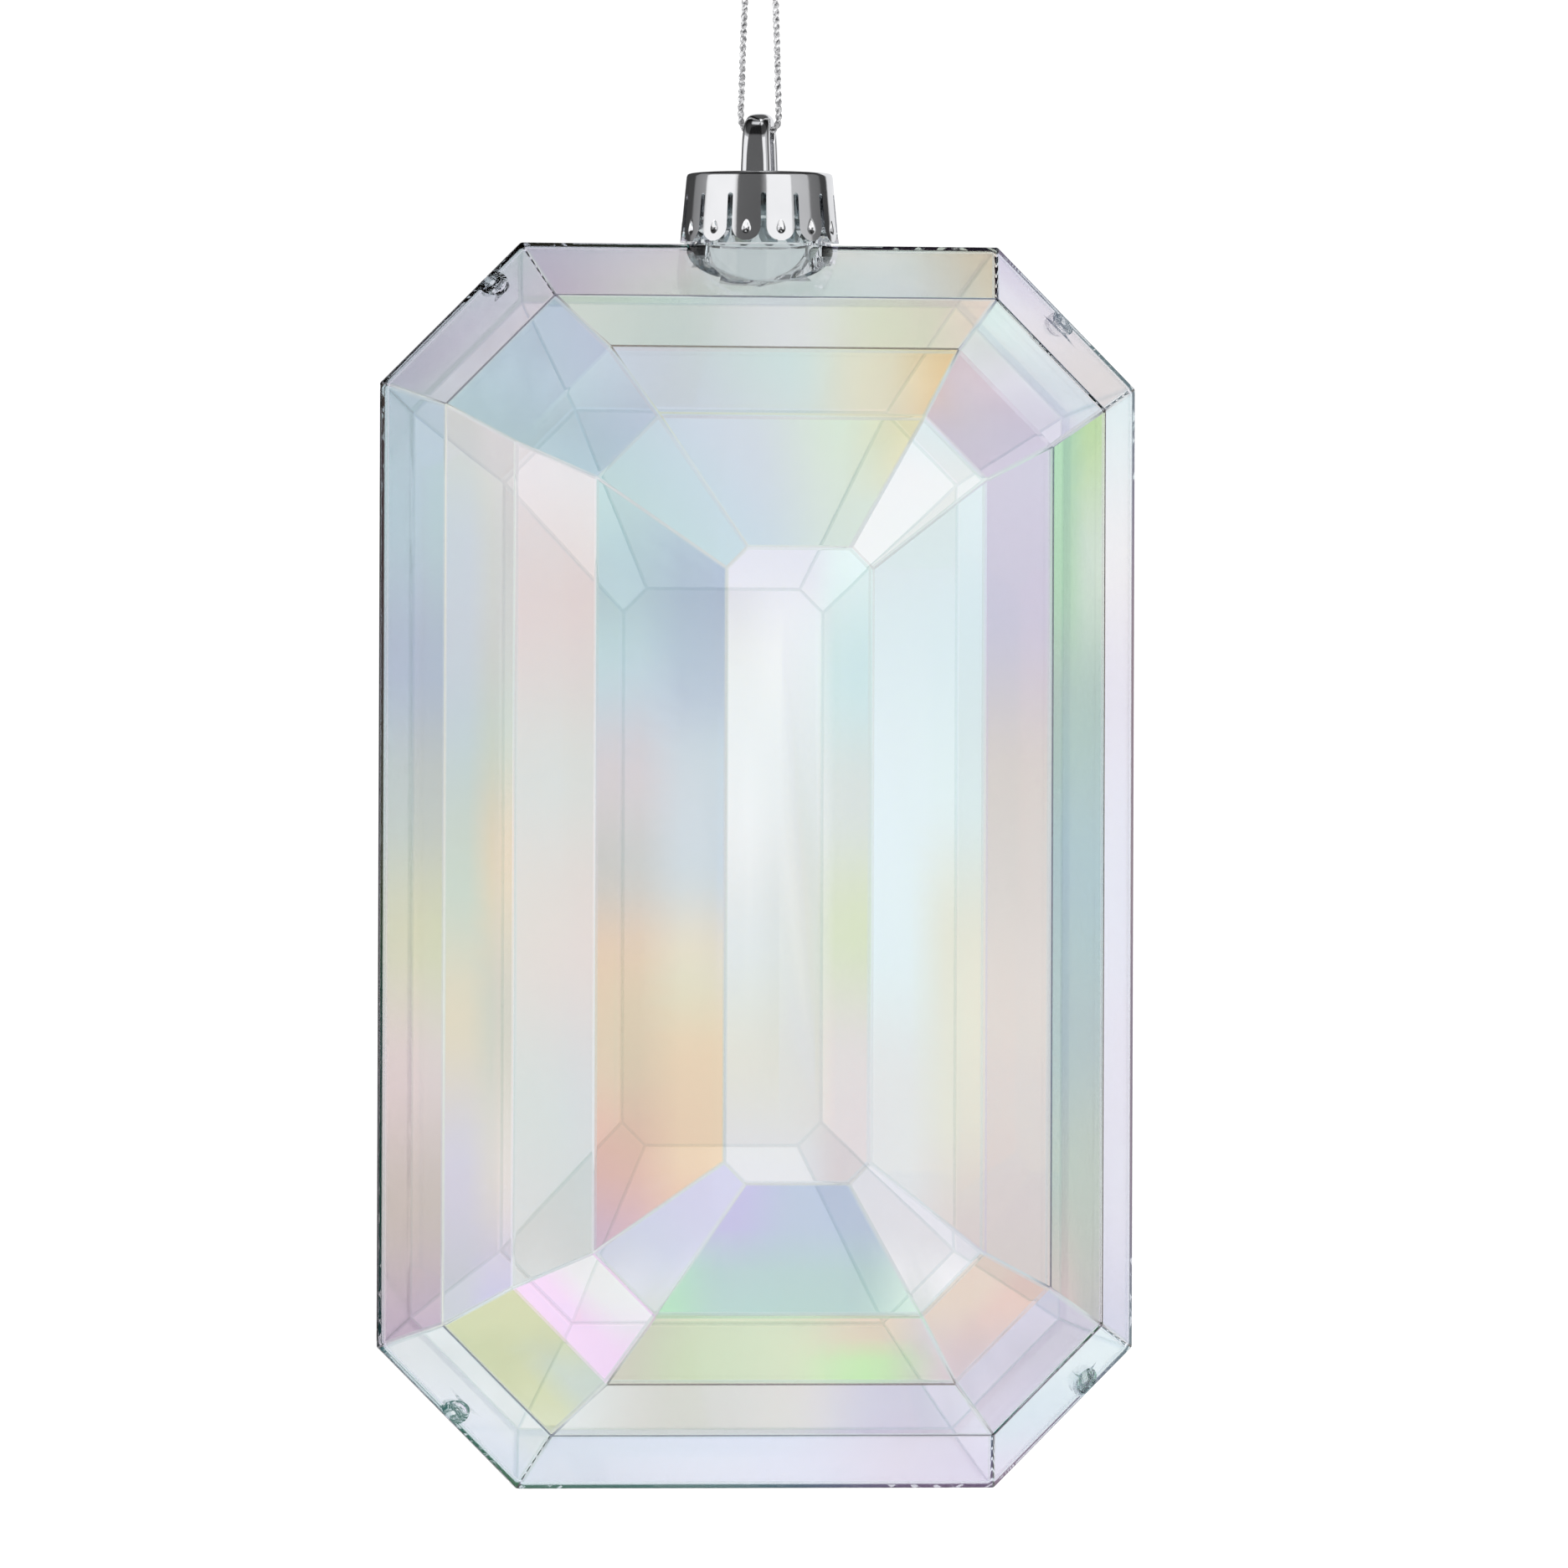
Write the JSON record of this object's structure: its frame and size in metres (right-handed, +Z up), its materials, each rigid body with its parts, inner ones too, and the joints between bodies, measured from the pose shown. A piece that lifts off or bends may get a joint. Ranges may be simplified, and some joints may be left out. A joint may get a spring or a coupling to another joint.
{
  "type": "gem hanging ornament",
  "caption": "Clear iridescent emerald-cut gem ornament, two glued faceted shells under a turning silver cap, hung from a metallic thread loop.",
  "frame": {"origin": "the point where a hook or branch holds the thread loop, just under its knot", "axes": "+Z up along the thread and the gem's height, -Y out of the front table, +X to the right as seen from the front"},
  "size_m": [0.0924, 0.0536, 0.2325],
  "materials": {
    "clear_front": "gloss",
    "clear_back": "gloss",
    "silver_cap": "polished",
    "silver_thread": "satin"
  },
  "bodies": {
    "thread_loop": {"hanging_cord": "silver_thread", "cord_knot": "silver_thread"},
    "cap": {"hanger_cap": "silver_cap"},
    "gem": {"front_shell": "clear_front", "back_shell": "clear_back"}
  },
  "joints": [
    {"name": "ornament_swing", "type": "hinge", "parent": "thread_loop", "child": "cap", "pos_m": [0, 0, -0.06], "axis": [0.9397, -0.342, 0], "range_deg": [-90, 90]},
    {"name": "gem_turn", "type": "hinge", "parent": "cap", "child": "gem", "pos_m": [0, 0, -0.0737], "axis": [0, 0, 1], "continuous": true}
  ]
}
